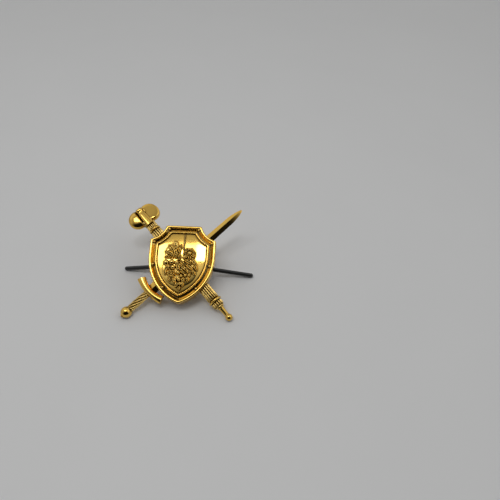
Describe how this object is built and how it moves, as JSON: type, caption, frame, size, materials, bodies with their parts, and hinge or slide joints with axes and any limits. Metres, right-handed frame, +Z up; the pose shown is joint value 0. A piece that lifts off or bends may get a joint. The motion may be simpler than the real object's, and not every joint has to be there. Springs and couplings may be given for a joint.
{
  "type": "metal prong-back badge",
  "caption": "Gilt uniform badge: a studded shield with a domed field and leafy relief over a crossed sword and flanged mace, with bendable wire prongs behind.",
  "frame": {"origin": "middle of the footprint, on the flat surface that the badge rests on with its prongs splayed", "axes": "+X to the viewer's right across the face, +Y from the shield's point towards its raised flat top, +Z up; the face leans back 22 degrees from lying flat"},
  "size_m": [0.028, 0.0234, 0.0099],
  "materials": {
    "polished_gilt": "polished and gilt",
    "struck_gilt": "struck detail, gilt",
    "plain_brass": "plain, soldered",
    "blackened_steel": "black lacquer on soft steel wire"
  },
  "bodies": {
    "badge": {"shield_plate": "polished_gilt", "shield_border": "polished_gilt", "shield_field": "polished_gilt", "field_relief": "struck_gilt", "rim_stud_1": "polished_gilt", "rim_stud_2": "polished_gilt", "rim_stud_3": "polished_gilt", "rim_stud_4": "polished_gilt", "rim_stud_5": "polished_gilt", "rim_stud_6": "polished_gilt", "rim_stud_7": "polished_gilt", "rim_stud_8": "polished_gilt", "sword_blade": "polished_gilt", "sword_guard": "polished_gilt", "sword_grip": "struck_gilt", "sword_pommel": "polished_gilt", "mace_bundle": "struck_gilt", "mace_band": "polished_gilt", "mace_collar": "struck_gilt", "mace_spine": "polished_gilt", "mace_lobe_left": "polished_gilt", "mace_lobe_right": "polished_gilt", "mace_ring": "polished_gilt", "mace_ferrule": "struck_gilt", "mace_tail": "polished_gilt", "back_bridge": "plain_brass", "prong_pad_left": "plain_brass", "prong_pad_right": "plain_brass"},
    "left_prong": {"prong_leg_left": "blackened_steel"},
    "right_prong": {"prong_leg_right": "blackened_steel"}
  },
  "joints": [
    {"name": "left_prong_bend", "type": "hinge", "parent": "badge", "child": "left_prong", "pos_m": [-0.0021, -0.00016, 0.0031], "axis": [0.0332, -0.9267, -0.3744], "range_deg": [-8, 76]},
    {"name": "right_prong_bend", "type": "hinge", "parent": "badge", "child": "right_prong", "pos_m": [0.0005, -0.00016, 0.0031], "axis": [0.0698, 0.9249, 0.3737], "range_deg": [-8, 76]}
  ]
}
